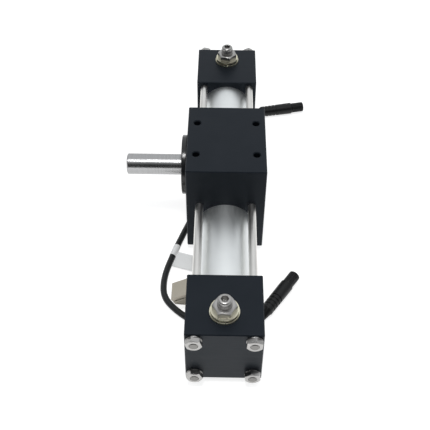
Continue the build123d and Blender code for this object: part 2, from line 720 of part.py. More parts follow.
def tie_rod_nuts():
    nut = Rot(-90, 0, 0) * hex_nut(ROD_NUT_ACROSS_FLATS, ROD_NUT_HEIGHT, ROD_RADIUS)
    return [
        Pos(x, ROD_NUT_Y, z) * Rot(0, turn, 0) * nut
        for (x, z), turn in zip(rod_places(), ROD_NUT_TURNS)
    ]


def cushion_needle():
    """Adjusting screw with a hexagon socket and a tapered tip."""
    top_z = CAP_TOP_Z + NEEDLE_PROUD
    shoulder_z = CAP_TOP_Z - NEEDLE_DEPTH + END_GAP
    screw = cylinder_z(NEEDLE_RADIUS, shoulder_z, top_z, 0, NEEDLE_Y)
    screw = fillet(screw.edges().sort_by(Axis.Z)[-1], NEEDLE_TOP_ROUND)
    tip_z = shoulder_z - NEEDLE_TIP_LENGTH / 2
    tip = Pos(0, NEEDLE_Y, tip_z) * Cone(
        NEEDLE_TIP_RADIUS, WELL_RADIUS - RUNNING_GAP, NEEDLE_TIP_LENGTH
    )
    socket = Pos(0, NEEDLE_Y, top_z) * hex_socket(NEEDLE_SOCKET, NEEDLE_SOCKET_DEPTH)
    return screw + tip - socket


def needle_washers():
    """Metal discs below and above the rubber ring."""
    upper_z = CAP_TOP_Z + LOWER_DISC_HEIGHT + RUBBER_RING_HEIGHT
    hole = NEEDLE_RADIUS + FIT_GAP
    lower = ring_z(
        LOWER_DISC_RADIUS, hole, CAP_TOP_Z, CAP_TOP_Z + LOWER_DISC_HEIGHT, 0, NEEDLE_Y
    )
    upper = ring_z(
        UPPER_DISC_RADIUS, hole, upper_z, upper_z + UPPER_DISC_HEIGHT, 0, NEEDLE_Y
    )
    return [lower, upper]


def needle_seal_ring():
    start = CAP_TOP_Z + LOWER_DISC_HEIGHT
    return ring_z(
        RUBBER_RING_RADIUS,
        NEEDLE_RADIUS + FIT_GAP,
        start,
        start + RUBBER_RING_HEIGHT,
        0,
        NEEDLE_Y,
    )


def needle_lock_nut(turn):
    seat_z = CAP_TOP_Z + LOWER_DISC_HEIGHT + RUBBER_RING_HEIGHT + UPPER_DISC_HEIGHT
    nut = hex_nut(NEEDLE_NUT_ACROSS_FLATS, NEEDLE_NUT_HEIGHT, NEEDLE_RADIUS + FIT_GAP)
    return Pos(0, NEEDLE_Y, seat_z) * Rot(0, 0, turn) * nut


def bracket_plane():
    """Plane at the lower left tie rod: local X points outwards along the slit and Y up."""
    tilt = math.radians(BRACKET_TILT)
    start_y = CAP_INNER_Y - BRACKET_FROM_CAP - BRACKET_LENGTH
    return Plane(
        origin=(-ROD_SPACING / 2, start_y, CYLINDER_Z - ROD_SPACING / 2),
        x_dir=(-math.cos(tilt), 0, -math.sin(tilt)),
        z_dir=(0, 1, 0),
    )


def bracket_outline():
    """Flat plate above the slit, and below it a body that narrows to a rounded nose."""
    inner = -ROD_RADIUS - BRACKET_WALL
    floor = -ROD_RADIUS - BRACKET_FLOOR
    outline = Polygon(
        (inner, BRACKET_SLIT_RISE + BRACKET_PLATE),
        (BRACKET_REACH, BRACKET_SLIT_RISE + BRACKET_PLATE),
        (BRACKET_REACH, BRACKET_SLIT_RISE - BRACKET_NOSE),
        (BRACKET_REACH - BRACKET_TAPER, floor),
        (inner, floor),
        align=None,
    )
    lowest = outline.vertices().sort_by(Axis.Y)[:2]
    return fillet(lowest.sort_by(Axis.X)[-1], BRACKET_ROUND)


def switch_bracket():
    """Split clamp on a tie rod, with an arm that carries the switch under the tube."""
    slit = Rectangle(BRACKET_REACH, BRACKET_SLIT, align=(Align.MIN, Align.CENTER))
    throat = Rectangle(BRACKET_SLIT, BRACKET_SLIT_RISE, align=(Align.CENTER, Align.MIN))
    section = bracket_outline() - Pos(0, BRACKET_SLIT_RISE) * slit - throat
    clamp = extrude(bracket_plane() * section, BRACKET_LENGTH, dir=(0, 1, 0))
    rod_hole = extrude(bracket_plane() * Circle(ROD_RADIUS), BRACKET_LENGTH, dir=(0, 1, 0))
    return clamp + bracket_arm() - rod_hole - switch_envelope() - bracket_screw_hole()


def bracket_arm():
    end_y = CAP_INNER_Y - BRACKET_FROM_CAP
    start_y = end_y - BRACKET_LENGTH
    switch_left = SWITCH_X - SWITCH_WIDTH / 2
    switch_floor = SWITCH_Z - SWITCH_HEIGHT / 2
    web_left = switch_left - BRACKET_WEB
    shelf = block(
        web_left,
        SWITCH_X + SWITCH_WIDTH / 2,
        start_y,
        end_y,
        switch_floor - BRACKET_ARM,
        switch_floor,
    )
    web_top = CYLINDER_Z - ROD_SPACING / 2
    return shelf + block(
        web_left, switch_left, start_y, end_y, switch_floor - BRACKET_ARM, web_top
    )


def switch_envelope():
    return block(
        SWITCH_X - SWITCH_WIDTH / 2,
        SWITCH_X + SWITCH_WIDTH / 2,
        SWITCH_INNER_Y,
        SWITCH_OUTER_Y,
        SWITCH_Z - SWITCH_HEIGHT / 2,
        SWITCH_Z + SWITCH_HEIGHT / 2,
    )


def bracket_screw_axis():
    """Plane on the bracket's floor, facing up along the clamp screw."""
    plane = bracket_plane()
    place = Vector(BRACKET_SCREW_REACH, -ROD_RADIUS - BRACKET_FLOOR, BRACKET_LENGTH / 2)
    return Plane(
        origin=plane.from_local_coords(place), x_dir=plane.x_dir, z_dir=plane.y_dir
    )


def floor_to_slit():
    return ROD_RADIUS + BRACKET_FLOOR + BRACKET_SLIT_RISE


def bracket_screw_hole():
    shank = extrude(Circle(BRACKET_SCREW_RADIUS), floor_to_slit() + BRACKET_PLATE / 2)
    head_floor = floor_to_slit() - BRACKET_SCREW_DEPTH + BRACKET_SCREW_HEAD
    counterbore = extrude(Circle(BRACKET_SCREW_HEAD_RADIUS), head_floor)
    return bracket_screw_axis() * (shank + counterbore)


def bracket_screw():
    head_start = floor_to_slit() - BRACKET_SCREW_DEPTH
    shank_length = BRACKET_SCREW_DEPTH + BRACKET_PLATE / 2
    head = extrude(Circle(BRACKET_SCREW_HEAD_RADIUS), BRACKET_SCREW_HEAD)
    shank = extrude(Circle(BRACKET_SCREW_RADIUS), shank_length)
    socket = extrude(hexagon(BRACKET_SCREW_SOCKET), BRACKET_SCREW_SOCKET_DEPTH)
    return bracket_screw_axis() * Pos(0, 0, head_start) * (head + shank - socket)


def switch():
    """Reed switch with rounded long edges."""
    body = switch_envelope()
    return fillet(body.edges().filter_by(Axis.Y), SWITCH_EDGE)


def lead_radii(points):
    """Radius of each arc: 0.45 of the shorter run over the tangent of half the turn."""
    radii = []
    for before, here, after in zip(points, points[1:], points[2:]):
        run_in = Vector(*here) - Vector(*before)
        run_out = Vector(*after) - Vector(*here)
        half_turn = math.radians(run_in.get_angle(run_out)) / 2
        radii.append(0.45 * min(run_in.length, run_out.length) / math.tan(half_turn))
    return radii


def lead(name, points):
    radii = lead_radii(points)
    path = FilletPolyline(*points, radius=radii)
    section = Plane(origin=path @ 0, z_dir=path % 0) * Circle(LEAD_DIAMETER / 2)
    solid = sweep(section, path=path)
    volume = math.pi * LEAD_DIAMETER**2 / 4 * path.length
    print(name, "length", round(path.length, 1), "radii", [round(r) for r in radii])
    print(name, "volume over section times length", round(solid.volume / volume, 4))
    return solid


def behind_tip(tip, heading, distance):
    """A point on the lead's level, straight behind the tip of a plug."""
    return (tip[0] - distance * heading[0], tip[1] - distance * heading[1], LEAD_Z)


def lead_end(tip, heading):
    """The last two points of a lead, which enters its plug's boot straight."""
    return (
        behind_tip(tip, heading, PLUG_LENGTH + PLUG_LEAD_RUN),
        behind_tip(tip, heading, PLUG_LENGTH),
    )


def plug_place(tip, heading):
    """Plane at the rear of a plug: local Z points to its tip and local X is up."""
    rear = behind_tip(tip, heading, PLUG_LENGTH)
    return Plane(
        origin=(rear[0], rear[1], PLUG_Z), x_dir=(0, 0, 1), z_dir=(heading[0], heading[1], 0)
    )


def plug():
    """Moulded plug: a boot that droops to the lead, a grip body and a neck."""
    body_end = PLUG_LENGTH - COLLAR_LENGTH
    small = Pos(LEAD_Z - PLUG_Z, 0) * Circle(LEAD_DIAMETER / 2)
    large = Pos(0, 0, PLUG_BOOT_LENGTH) * Circle(PLUG_BOOT_RADIUS)
    boot = loft([small, large])
    outline = Polyline(
        (0, PLUG_BOOT_LENGTH),
        (PLUG_REAR_RADIUS - PLUG_EDGE, PLUG_BOOT_LENGTH),
        (PLUG_REAR_RADIUS, PLUG_BOOT_LENGTH + PLUG_EDGE),
        (PLUG_RADIUS, body_end - PLUG_HEAD_LENGTH),
        (PLUG_RADIUS, body_end - PLUG_EDGE),
        (PLUG_RADIUS - PLUG_EDGE, body_end),
        (COLLAR_NECK_RADIUS, body_end),
        (COLLAR_NECK_RADIUS, PLUG_LENGTH - COLLAR_RECESS),
        (0, PLUG_LENGTH - COLLAR_RECESS),
        close=True,
    )
    body = revolve(Plane.XZ * make_face(outline), Axis.Z)
    for number in range(PLUG_GRIP_COUNT):
        start = PLUG_BOOT_LENGTH + PLUG_GRIP_START + number * PLUG_GRIP_PITCH
        groove = Cylinder(2 * PLUG_RADIUS, PLUG_GRIP_WIDTH)
        groove -= Cylinder(PLUG_REAR_RADIUS - PLUG_GRIP_DEPTH, PLUG_GRIP_WIDTH)
        body -= Pos(0, 0, start) * groove
    return boot + body


def plug_collar():
    """Knurled coupling ring that turns on the plug's neck."""
    start = PLUG_LENGTH - COLLAR_LENGTH + COLLAR_END_GAP
    length = PLUG_LENGTH - start
    ring = Pos(0, 0, start + length / 2) * Cylinder(COLLAR_RADIUS, length)
    ring = chamfer(ring.edges().filter_by(GeomType.CIRCLE), COLLAR_EDGE)
    ring -= Pos(0, 0, start + length / 2) * Cylinder(COLLAR_BORE_RADIUS, length)
    knurl_length = length - 2 * COLLAR_KNURL_MARGIN
    for number in range(COLLAR_KNURLS):
        x, y = polar(COLLAR_RADIUS, 2 * math.pi * number / COLLAR_KNURLS)
        groove = Cylinder(COLLAR_KNURL_RADIUS, knurl_length)
        ring -= Pos(x, y, start + length / 2) * groove
    return ring


def plug_contacts():
    """Metal insert and contact pins inside the mouth of the plug."""
    seat = PLUG_LENGTH - COLLAR_RECESS
    insert = Cylinder(INSERT_RADIUS, PIN_PROUD) - Cylinder(
        INSERT_RADIUS - INSERT_WALL, PIN_PROUD
    )
    pieces = [Pos(0, 0, seat + PIN_PROUD / 2) * insert]
    for number in range(PIN_COUNT):
        x, y = polar(PIN_CIRCLE, 2 * math.pi * number / PIN_COUNT)
        pin = Pos(x, y, seat + PIN_PROUD / 2) * Cylinder(PIN_RADIUS, PIN_PROUD)
        pieces.append(pin)
    return pieces


def sleeve_plane():
    """Plane across the far lead where the marker sleeve starts, local X up."""
    start = Vector(*FAR_LEAD_POINTS[SLEEVE_RUN])
    run = Vector(*FAR_LEAD_POINTS[SLEEVE_RUN + 1]) - start
    along = run.normalized()
    return Plane(origin=start + along * SLEEVE_START, x_dir=(0, 0, 1), z_dir=along)


def tag_sleeve():
    """Paper sleeve wrapped round the lead, open where the lead lies on the floor."""
    inner = LEAD_DIAMETER / 2
    ring = Circle(inner + SLEEVE_WALL) - Circle(inner)
    sleeve = extrude(sleeve_plane() * ring, SLEEVE_LENGTH)
    size = sleeve.bounding_box()
    opening_top = FLOOR_Z + SLEEVE_FLOOR_GAP
    return sleeve - block(
        size.min.X, size.max.X, size.min.Y, size.max.Y, size.min.Z, opening_top
    )


def cable_tag():
    """Flag of the marker, which stands out from the sleeve on the actuator's side."""
    plane = sleeve_plane()
    height = LEAD_DIAMETER / 2 - TAG_THICKNESS
    reach = LEAD_DIAMETER / 2 + SLEEVE_WALL
    flag = Rectangle(TAG_THICKNESS, TAG_LENGTH, align=(Align.MIN, Align.MAX))
    solid = extrude(plane * Pos(height - reach, -reach) * flag, TAG_WIDTH)
    return Pos(*(plane.z_dir * TAG_SHIFT)) * solid


def save(name, pieces):
    """Write one node, given as one solid or a list of separate ones."""
    solids = pieces if isinstance(pieces, list) else [pieces]
    placed = [FRAME * solid for solid in solids]
    shape = placed[0] if len(placed) == 1 else Compound(children=placed)
    export_step(shape, "parts/" + name + ".step")


def save_sides(name, make):
    """Write the far and the near node of a piece that both cylinders have."""
    far = make()
    solids = far if isinstance(far, list) else [far]
    save("far_" + name, solids)
    save("near_" + name, [to_near(solid) for solid in solids])


def build():
    os.makedirs("parts", exist_ok=True)
    middle = (
        ("gear_housing", gear_housing),
        ("bearing_retainer", bearing_retainer),
        ("pinion_shaft", pinion_shaft),
        ("bearing_outer_rings", bearing_outer_rings),
        ("bearing_inner_rings", bearing_inner_rings),
        ("bearing_balls", bearing_balls),
        ("shaft_seal", shaft_seal),
        ("rack", rack),
        ("rack_pad", rack_pad),
        ("tag_sleeve", tag_sleeve),
        ("cable_tag", cable_tag),
    )
    sides = (
        ("piston", piston),
        ("piston_seal", piston_seal),
        ("wear_ring", wear_ring),
        ("magnet_ring", magnet_ring),
        ("cushion_spear", cushion_spear),
        ("cushion_seal", cushion_seal),
        ("tube", tube),
        ("tube_gaskets", tube_gaskets),
        ("end_cap", end_cap),
        ("tie_rods", tie_rods),
        ("tie_rod_washers", tie_rod_washers),
        ("tie_rod_nuts", tie_rod_nuts),
        ("cushion_needle", cushion_needle),
        ("needle_washers", needle_washers),
        ("needle_seal_ring", needle_seal_ring),
    )
    switches = (
        ("switch_bracket", switch_bracket),
        ("bracket_screw", bracket_screw),
        ("switch", switch),
    )
    for name, make in middle:
        save(name, make())
    for name, make in sides:
        save_sides(name, make)
    save("far_needle_lock_nut", needle_lock_nut(FAR_NEEDLE_NUT_TURN))
    save("near_needle_lock_nut", to_near(needle_lock_nut(NEAR_NEEDLE_NUT_TURN)))
    for name, make in switches:
        save("far_" + name, Pos(0, -FAR_SWITCH_SHIFT, 0) * make())
        save("near_" + name, to_near(make()))
    ends = (
        ("far", NEAR_LEAD_POINTS, FAR_PLUG_TIP, FAR_PLUG_HEADING, "near_lead"),
        ("near", FAR_LEAD_POINTS, NEAR_PLUG_TIP, NEAR_PLUG_HEADING, "far_lead"),
    )
    for side, points, tip, heading, lead_name in ends:
        save(lead_name, lead(lead_name, points + lead_end(tip, heading)))
        place = plug_place(tip, heading)
        save(side + "_plug", place * plug())
        save(side + "_plug_collar", place * plug_collar())
        save(side + "_plug_contacts", [place * piece for piece in plug_contacts()])


build()
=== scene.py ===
import json
import math

import bpy
from mathutils import Matrix, Vector

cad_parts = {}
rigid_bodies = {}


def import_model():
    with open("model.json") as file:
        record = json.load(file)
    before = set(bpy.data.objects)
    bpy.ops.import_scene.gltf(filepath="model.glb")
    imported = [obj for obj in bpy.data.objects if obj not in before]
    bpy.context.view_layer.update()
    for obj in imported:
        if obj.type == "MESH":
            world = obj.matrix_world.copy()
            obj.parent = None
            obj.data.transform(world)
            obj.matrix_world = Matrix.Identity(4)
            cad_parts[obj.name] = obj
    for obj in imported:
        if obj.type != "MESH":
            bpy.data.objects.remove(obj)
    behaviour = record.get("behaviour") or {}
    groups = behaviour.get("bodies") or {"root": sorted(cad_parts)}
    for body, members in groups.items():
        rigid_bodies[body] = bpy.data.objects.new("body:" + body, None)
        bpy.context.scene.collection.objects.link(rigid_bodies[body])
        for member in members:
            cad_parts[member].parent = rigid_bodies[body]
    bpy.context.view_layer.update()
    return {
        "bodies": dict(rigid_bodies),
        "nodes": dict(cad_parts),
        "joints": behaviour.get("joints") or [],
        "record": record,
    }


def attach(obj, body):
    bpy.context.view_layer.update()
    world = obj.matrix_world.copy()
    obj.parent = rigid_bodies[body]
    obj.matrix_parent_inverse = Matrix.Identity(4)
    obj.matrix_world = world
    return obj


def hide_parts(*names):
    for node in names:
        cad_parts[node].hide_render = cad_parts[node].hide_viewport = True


MM = 0.001

# The camera stands where a fit to the photograph's edges puts it.
CAMERA_PLACE = (0.03143, -0.41554, 0.39136)
CAMERA_ELEVATION = 47.10
CAMERA_AZIMUTH = 0.729
CAMERA_ROLL = 0.313
CAMERA_LENS = 62.65
SENSOR_WIDTH = 36.0
CAMERA_SHIFT = (0.0009, -0.0006)

# The body frame of the CAD has x = 0 at the middle of the gear housing.
HOUSING_X = 34.6
FLOOR_Z = -57.4
LEAD_Z = -55.0
SWITCH_Z = -50.85
PLUG_Z = -52.4
LEAD_DIAMETER = 4.8
PLUG_LENGTH = 46.5
PLUG_LEAD_RUN = 11.0
NEAR_PLUG_TIP = (52.9, -64.2)
NEAR_PLUG_HEADING = (0.5625, 0.8268)
FAR_PLUG_TIP = (71.2, 136.6)
FAR_PLUG_HEADING = (0.9764, 0.2160)
FAR_LEAD_POINTS = (
    (-10.0, 60.0, SWITCH_Z),
    (-10.0, 50.0, SWITCH_Z),
    (-12.0, 41.0, LEAD_Z),
    (-16.5, 24.0, LEAD_Z),
    (-25.2, -0.5, LEAD_Z),
    (-34.0, -25.0, LEAD_Z),
    (-42.8, -53.5, LEAD_Z),
    (-45.7, -69.0, LEAD_Z),
    (-44.8, -84.0, LEAD_Z),
    (-36.2, -95.4, LEAD_Z),
    (-21.5, -106.5, LEAD_Z),
    (-4.0, -115.5, LEAD_Z),
    (10.0, -116.8, LEAD_Z),
)
NEAR_LEAD_POINTS = (
    (-10.0, -72.0, SWITCH_Z),
    (-10.0, -62.0, SWITCH_Z),
    (-8.0, -45.5, LEAD_Z),
    (3.0, -27.5, LEAD_Z),
    (14.5, -7.5, LEAD_Z),
    (19.5, 15.0, LEAD_Z),
    (15.5, 37.5, LEAD_Z),
    (6.5, 58.0, LEAD_Z),
    (2.5, 80.0, LEAD_Z),
    (1.6, 97.0, LEAD_Z),
    (4.0, 109.5, LEAD_Z),
    (8.6, 118.6, LEAD_Z),
)
FAR_LEAD_LENGTH = 238.0
NEAR_LEAD_LENGTH = 220.1
LEAD_ORDER = 3
LEAD_STEPS = 12
LEAD_ROUNDNESS = 8


def metres(x, y, z):
    """A point of the body frame, in millimetres, as a point of the row frame in metres."""
    return Vector(((x + HOUSING_X) * MM, y * MM, z * MM))


def behind_tip(tip, heading, distance):
    return (tip[0] - distance * heading[0], tip[1] - distance * heading[1], LEAD_Z)


def lead_route(points, tip, heading):
    ends = (
        behind_tip(tip, heading, PLUG_LENGTH + PLUG_LEAD_RUN),
        behind_tip(tip, heading, PLUG_LENGTH),
    )
    return [metres(*point) for point in points + ends]


def add_camera():
    elevation = math.radians(CAMERA_ELEVATION)
    azimuth = math.radians(CAMERA_AZIMUTH)
    roll = math.radians(CAMERA_ROLL)
    back = Vector(
        (
            math.sin(azimuth) * math.cos(elevation),
            -math.cos(azimuth) * math.cos(elevation),
            math.sin(elevation),
        )
    )
    level = Vector((math.cos(azimuth), math.sin(azimuth), 0))
    above = back.cross(level)
    right = math.cos(roll) * level + math.sin(roll) * above
    up = back.cross(right)
    data = bpy.data.cameras.new("camera")
    data.lens = CAMERA_LENS
    data.sensor_width = SENSOR_WIDTH
    data.shift_x, data.shift_y = CAMERA_SHIFT
    data.clip_start = 0.01
    camera = bpy.data.objects.new("camera", data)
    bpy.context.scene.collection.objects.link(camera)
    turn = Matrix((right, up, back)).transposed().to_4x4()
    camera.matrix_world = Matrix.Translation(CAMERA_PLACE) @ turn
    bpy.context.scene.camera = camera


def add_lead(name, points):
    """A tube whose radius is on its points, because a curve's box counts theirs in metres."""
    curve = bpy.data.curves.new(name, "CURVE")
    curve.dimensions = "3D"
    spline = curve.splines.new("NURBS")
    spline.points.add(len(points) - 1)
    for target, point in zip(spline.points, points):
        target.co = (*point, 1)
        target.radius = LEAD_DIAMETER / 2 * MM
    spline.order_u = LEAD_ORDER
    spline.use_endpoint_u = True
    spline.resolution_u = LEAD_STEPS
    curve.resolution_u = LEAD_STEPS
    curve.bevel_depth = 1.0
    curve.bevel_resolution = LEAD_ROUNDNESS
    curve.use_fill_caps = True
    lead = bpy.data.objects.new(name, curve)
    bpy.context.scene.collection.objects.link(lead)
    return lead


def add_leads(nodes):
    ends = (
        (
            "near_lead",
            "far",
            lead_route(NEAR_LEAD_POINTS, FAR_PLUG_TIP, FAR_PLUG_HEADING),
            NEAR_LEAD_LENGTH,
            (),
        ),
        (
            "far_lead",
            "near",
            lead_route(FAR_LEAD_POINTS, NEAR_PLUG_TIP, NEAR_PLUG_HEADING),
            FAR_LEAD_LENGTH,
            ("tag_sleeve", "cable_tag"),
        ),
    )
    for node, plug_side, points, length, extras in ends:
        lead = add_lead(node + "_cable", points)
        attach(lead, "actuator_body")
        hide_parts(node)
        names = [plug_side + end for end in ("_plug", "_plug_collar", "_plug_contacts")]
        pieces = [nodes[name] for name in names + list(extras)]
        tuple(points[0])
        yield lead


def node_material(name):
    material = bpy.data.materials.new(name)
    material.use_nodes = True
    nodes = material.node_tree.nodes
    nodes.clear()
    shader = nodes.new("ShaderNodeBsdfPrincipled")
    output = nodes.new("ShaderNodeOutputMaterial")
    material.node_tree.links.new(shader.outputs["BSDF"], output.inputs["Surface"])
    return material, shader


def add_noise(material, scale, detail=3.0, stretch=(1, 1, 1)):
    """Noise in the row frame, drawn out along the axes where stretch is small."""
    nodes = material.node_tree.nodes
    links = material.node_tree.links
    place = nodes.new("ShaderNodeTexCoord")
    mapping = nodes.new("ShaderNodeMapping")
    mapping.inputs["Scale"].default_value = stretch
    noise = nodes.new("ShaderNodeTexNoise")
    noise.inputs["Scale"].default_value = scale
    noise.inputs["Detail"].default_value = detail
    links.new(place.outputs["Object"], mapping.inputs["Vector"])
    links.new(mapping.outputs["Vector"], noise.inputs["Vector"])
    return noise.outputs["Fac"]


def add_lines(material, kind, direction, pitch):
    """Even lines: bands across an axis, or rings round it, a given pitch apart."""
    nodes = material.node_tree.nodes
    place = nodes.new("ShaderNodeTexCoord")
    wave = nodes.new("ShaderNodeTexWave")
    wave.wave_type = kind
    if kind == "RINGS":
        wave.rings_direction = direction
    else:
        wave.bands_direction = direction
    wave.inputs["Scale"].default_value = WAVE_LENGTH / pitch
    wave.inputs["Distortion"].default_value = 0.0
    material.node_tree.links.new(place.outputs["Object"], wave.inputs["Vector"])
    return wave.outputs["Fac"]


def spread(material, value, low, high):
    """Stretches the middle of a noise over the range from low to high."""
    ramp = material.node_tree.nodes.new("ShaderNodeMapRange")
    ramp.inputs["From Min"].default_value = NOISE_LOW
    ramp.inputs["From Max"].default_value = NOISE_HIGH
    ramp.inputs["To Min"].default_value = low
    ramp.inputs["To Max"].default_value = high
    material.node_tree.links.new(value, ramp.inputs["Value"])
    return ramp.outputs["Result"]


def add_bump(material, shader, height, depth, edge):
    """Surface relief of a given depth, on edges rounded to a given radius, in metres."""
    nodes = material.node_tree.nodes
    links = material.node_tree.links
    rounding = nodes.new("ShaderNodeBevel")
    rounding.samples = EDGE_SAMPLES
    rounding.inputs["Radius"].default_value = edge
    bump = nodes.new("ShaderNodeBump")
    bump.inputs["Strength"].default_value = 1.0
    bump.inputs["Distance"].default_value = depth
    links.new(height, bump.inputs["Height"])
    links.new(rounding.outputs["Normal"], bump.inputs["Normal"])
    links.new(bump.outputs["Normal"], shader.inputs["Normal"])


def mottled(material, shader, dark, light, scale, stretch):
    """Base colour that drifts between two near shades, in patches or drawn out in lines."""
    nodes = material.node_tree.nodes
    links = material.node_tree.links
    mix = nodes.new("ShaderNodeMix")
    mix.data_type = "RGBA"
    mix.inputs["A"].default_value = (*dark, 1)
    mix.inputs["B"].default_value = (*light, 1)
    patches = spread(material, add_noise(material, scale, 4.0, stretch), 0.0, 1.0)
    links.new(patches, mix.inputs["Factor"])
    links.new(mix.outputs["Result"], shader.inputs["Base Color"])
    return mix.outputs["Result"]


def shade_rod_ends(material, shader, colour, shade):
    """End faces of the tie rods, coloured darker than their sides."""
    nodes = material.node_tree.nodes
    links = material.node_tree.links
    place = nodes.new("ShaderNodeTexCoord")
    split = nodes.new("ShaderNodeSeparateXYZ")
    reach = nodes.new("ShaderNodeMath")
    reach.operation = "ABSOLUTE"
    end = nodes.new("ShaderNodeMath")
    end.operation = "GREATER_THAN"
    end.inputs[1].default_value = ROD_END_Y
    mix = nodes.new("ShaderNodeMix")
    mix.data_type = "RGBA"
    mix.inputs["B"].default_value = (*shade, 1)
    links.new(place.outputs["Object"], split.inputs["Vector"])
    links.new(split.outputs["Y"], reach.inputs[0])
    links.new(reach.outputs["Value"], end.inputs[0])
    links.new(end.outputs["Value"], mix.inputs["Factor"])
    links.new(colour, mix.inputs["A"])
    links.new(mix.outputs["Result"], shader.inputs["Base Color"])


def surface(
    name,
    dark,
    light,
    metallic,
    rough,
    grain,
    depth,
    edge=0.0002,
    patch=60.0,
    drawn=(1, 1, 1),
    gloss=0.5,
    tint=(1, 1, 1),
    lines=None,
    ends=None,
):
    """A finish: two shades, a range of roughness, and a grain or even lines in its relief."""
    material, shader = node_material(name)
    shader.inputs["Metallic"].default_value = metallic
    shader.inputs["Specular IOR Level"].default_value = gloss
    shader.inputs["Specular Tint"].default_value = (*tint, 1)
    scale, stretch = grain
    noise = add_noise(material, scale, 3.0, stretch)
    roughness = spread(material, noise, *rough)
    material.node_tree.links.new(roughness, shader.inputs["Roughness"])
    colour = mottled(material, shader, dark, light, patch, drawn)
    if ends:
        shade_rod_ends(material, shader, colour, ends)
    relief = add_lines(material, *lines) if lines else noise
    add_bump(material, shader, relief, depth, edge)
    return material


# Settings of the finishes
WAVE_LENGTH = math.pi / 10
EDGE_SAMPLES = 4
NOISE_LOW = 0.3
NOISE_HIGH = 0.7
EVEN = (1, 1, 1)
ALONG_X = (0.04, 1, 1)
ALONG_Y = (1, 0.04, 1)
AROUND_X = (1, 0.01, 0.01)
ROD_END_Y = 0.1572
FINISHES = {
    "black_anodised": dict(
        dark=(0.0065, 0.0092, 0.0135),
        light=(0.0085, 0.0112, 0.0160),
        metallic=0.0,
        rough=(0.36, 0.46),
        grain=(1500, ALONG_X),
        depth=0.0000015,
        gloss=0.21,
        tint=(0.78, 0.89, 1.0),
    ),
    "black_retainer": dict(
        dark=(0.010, 0.011, 0.012),
        light=(0.014, 0.015, 0.017),
        metallic=0.0,
        rough=(0.18, 0.24),
        grain=(1400, EVEN),
        depth=0.000001,
        gloss=0.5,
        lines=("RINGS", "X", 0.0006),
    ),
    "clear_anodised_tube": dict(
        dark=(0.86, 0.885, 0.885),
        light=(0.90, 0.925, 0.925),
        metallic=1.0,
        rough=(0.40, 0.46),
        grain=(1600, ALONG_Y),
        depth=0.0000008,
    ),
    "ground_steel": dict(
        dark=(0.37, 0.37, 0.372),
        light=(0.47, 0.47, 0.475),
        metallic=1.0,
        rough=(0.24, 0.28),
        grain=(60, EVEN),
        depth=0.0,
        patch=1500.0,
        drawn=AROUND_X,
    ),
    "bright_steel": dict(
        dark=(0.72, 0.71, 0.685),
        light=(0.78, 0.77, 0.745),
        metallic=1.0,
        rough=(0.30, 0.38),
        grain=(2000, ALONG_Y),
        depth=0.000001,
        ends=(0.22, 0.215, 0.205),
    ),
    "bearing_steel": dict(
        dark=(0.60, 0.60, 0.61),
        light=(0.66, 0.66, 0.67),
        metallic=1.0,
        rough=(0.08, 0.14),
        grain=(2000, EVEN),
        depth=0.0000005,
    ),
    "zinc_plate": dict(
        dark=(0.39, 0.385, 0.375),
        light=(0.47, 0.46, 0.45),
        metallic=1.0,
        rough=(0.28, 0.34),
        grain=(500, EVEN),
        depth=0.000001,
        edge=0.0003,
    ),
    "yellow_zinc": dict(
        dark=(0.70, 0.67, 0.52),
        light=(0.80, 0.77, 0.62),
        metallic=1.0,
        rough=(0.26, 0.34),
        grain=(500, EVEN),
        depth=0.000001,
        edge=0.0003,
    ),
    "machined_aluminium": dict(
        dark=(0.66, 0.66, 0.67),
        light=(0.74, 0.74, 0.75),
        metallic=1.0,
        rough=(0.22, 0.34),
        grain=(1600, ALONG_Y),
        depth=0.000002,
    ),
    "cast_metal": dict(
        dark=(0.56, 0.515, 0.43),
        light=(0.62, 0.575, 0.485),
        metallic=0.6,
        rough=(0.46, 0.60),
        grain=(1100, EVEN),
        depth=0.000015,
        edge=0.0004,
    ),
    "black_rubber": dict(
        dark=(0.010, 0.010, 0.010),
        light=(0.016, 0.016, 0.016),
        metallic=0.0,
        rough=(0.6, 0.75),
        grain=(1200, EVEN),
        depth=0.00001,
    ),
    "wear_plastic": dict(
        dark=(0.60, 0.57, 0.48),
        light=(0.70, 0.67, 0.58),
        metallic=0.0,
        rough=(0.45, 0.6),
        grain=(900, EVEN),
        depth=0.00001,
    ),
    "magnet": dict(
        dark=(0.030, 0.028, 0.028),
        light=(0.045, 0.042, 0.042),
        metallic=0.0,
        rough=(0.55, 0.7),
        grain=(900, EVEN),
        depth=0.00001,
    ),
    "black_plastic": dict(
        dark=(0.0065, 0.0075, 0.0080),
        light=(0.0095, 0.0105, 0.0110),
        metallic=0.0,
        rough=(0.34, 0.44),
        grain=(1500, EVEN),
        depth=0.000005,
        gloss=0.3,
        edge=0.0003,
    ),
    "lead_jacket": dict(
        dark=(0.016, 0.018, 0.019),
        light=(0.021, 0.023, 0.024),
        metallic=0.0,
        rough=(0.40, 0.50),
        grain=(900, EVEN),
        depth=0.000008,
        gloss=0.33,
    ),
    "contact_metal": dict(
        dark=(0.72, 0.58, 0.30),
        light=(0.82, 0.68, 0.40),
        metallic=1.0,
        rough=(0.15, 0.25),
        grain=(1500, EVEN),
        depth=0.000002,
    ),
    "white_paper": dict(
        dark=(0.93, 0.94, 0.94),
        light=(0.97, 0.98, 0.98),
        metallic=0.0,
        rough=(0.6, 0.8),
        grain=(1300, EVEN),
        depth=0.00001,
    ),
}


def dress(frame, leads):
    """Gives every CAD node, and both leads, the finish of its material slot."""
    materials = {name: surface(name, **finish) for name, finish in FINISHES.items()}
    slots = {part["node"]: part["material_slot"] for part in frame["record"]["subparts"]}
    for name, obj in frame["nodes"].items():
        obj.data.materials.clear()
        obj.data.materials.append(materials[slots[name]])
    for lead in leads:
        lead.data.materials.append(materials["lead_jacket"])


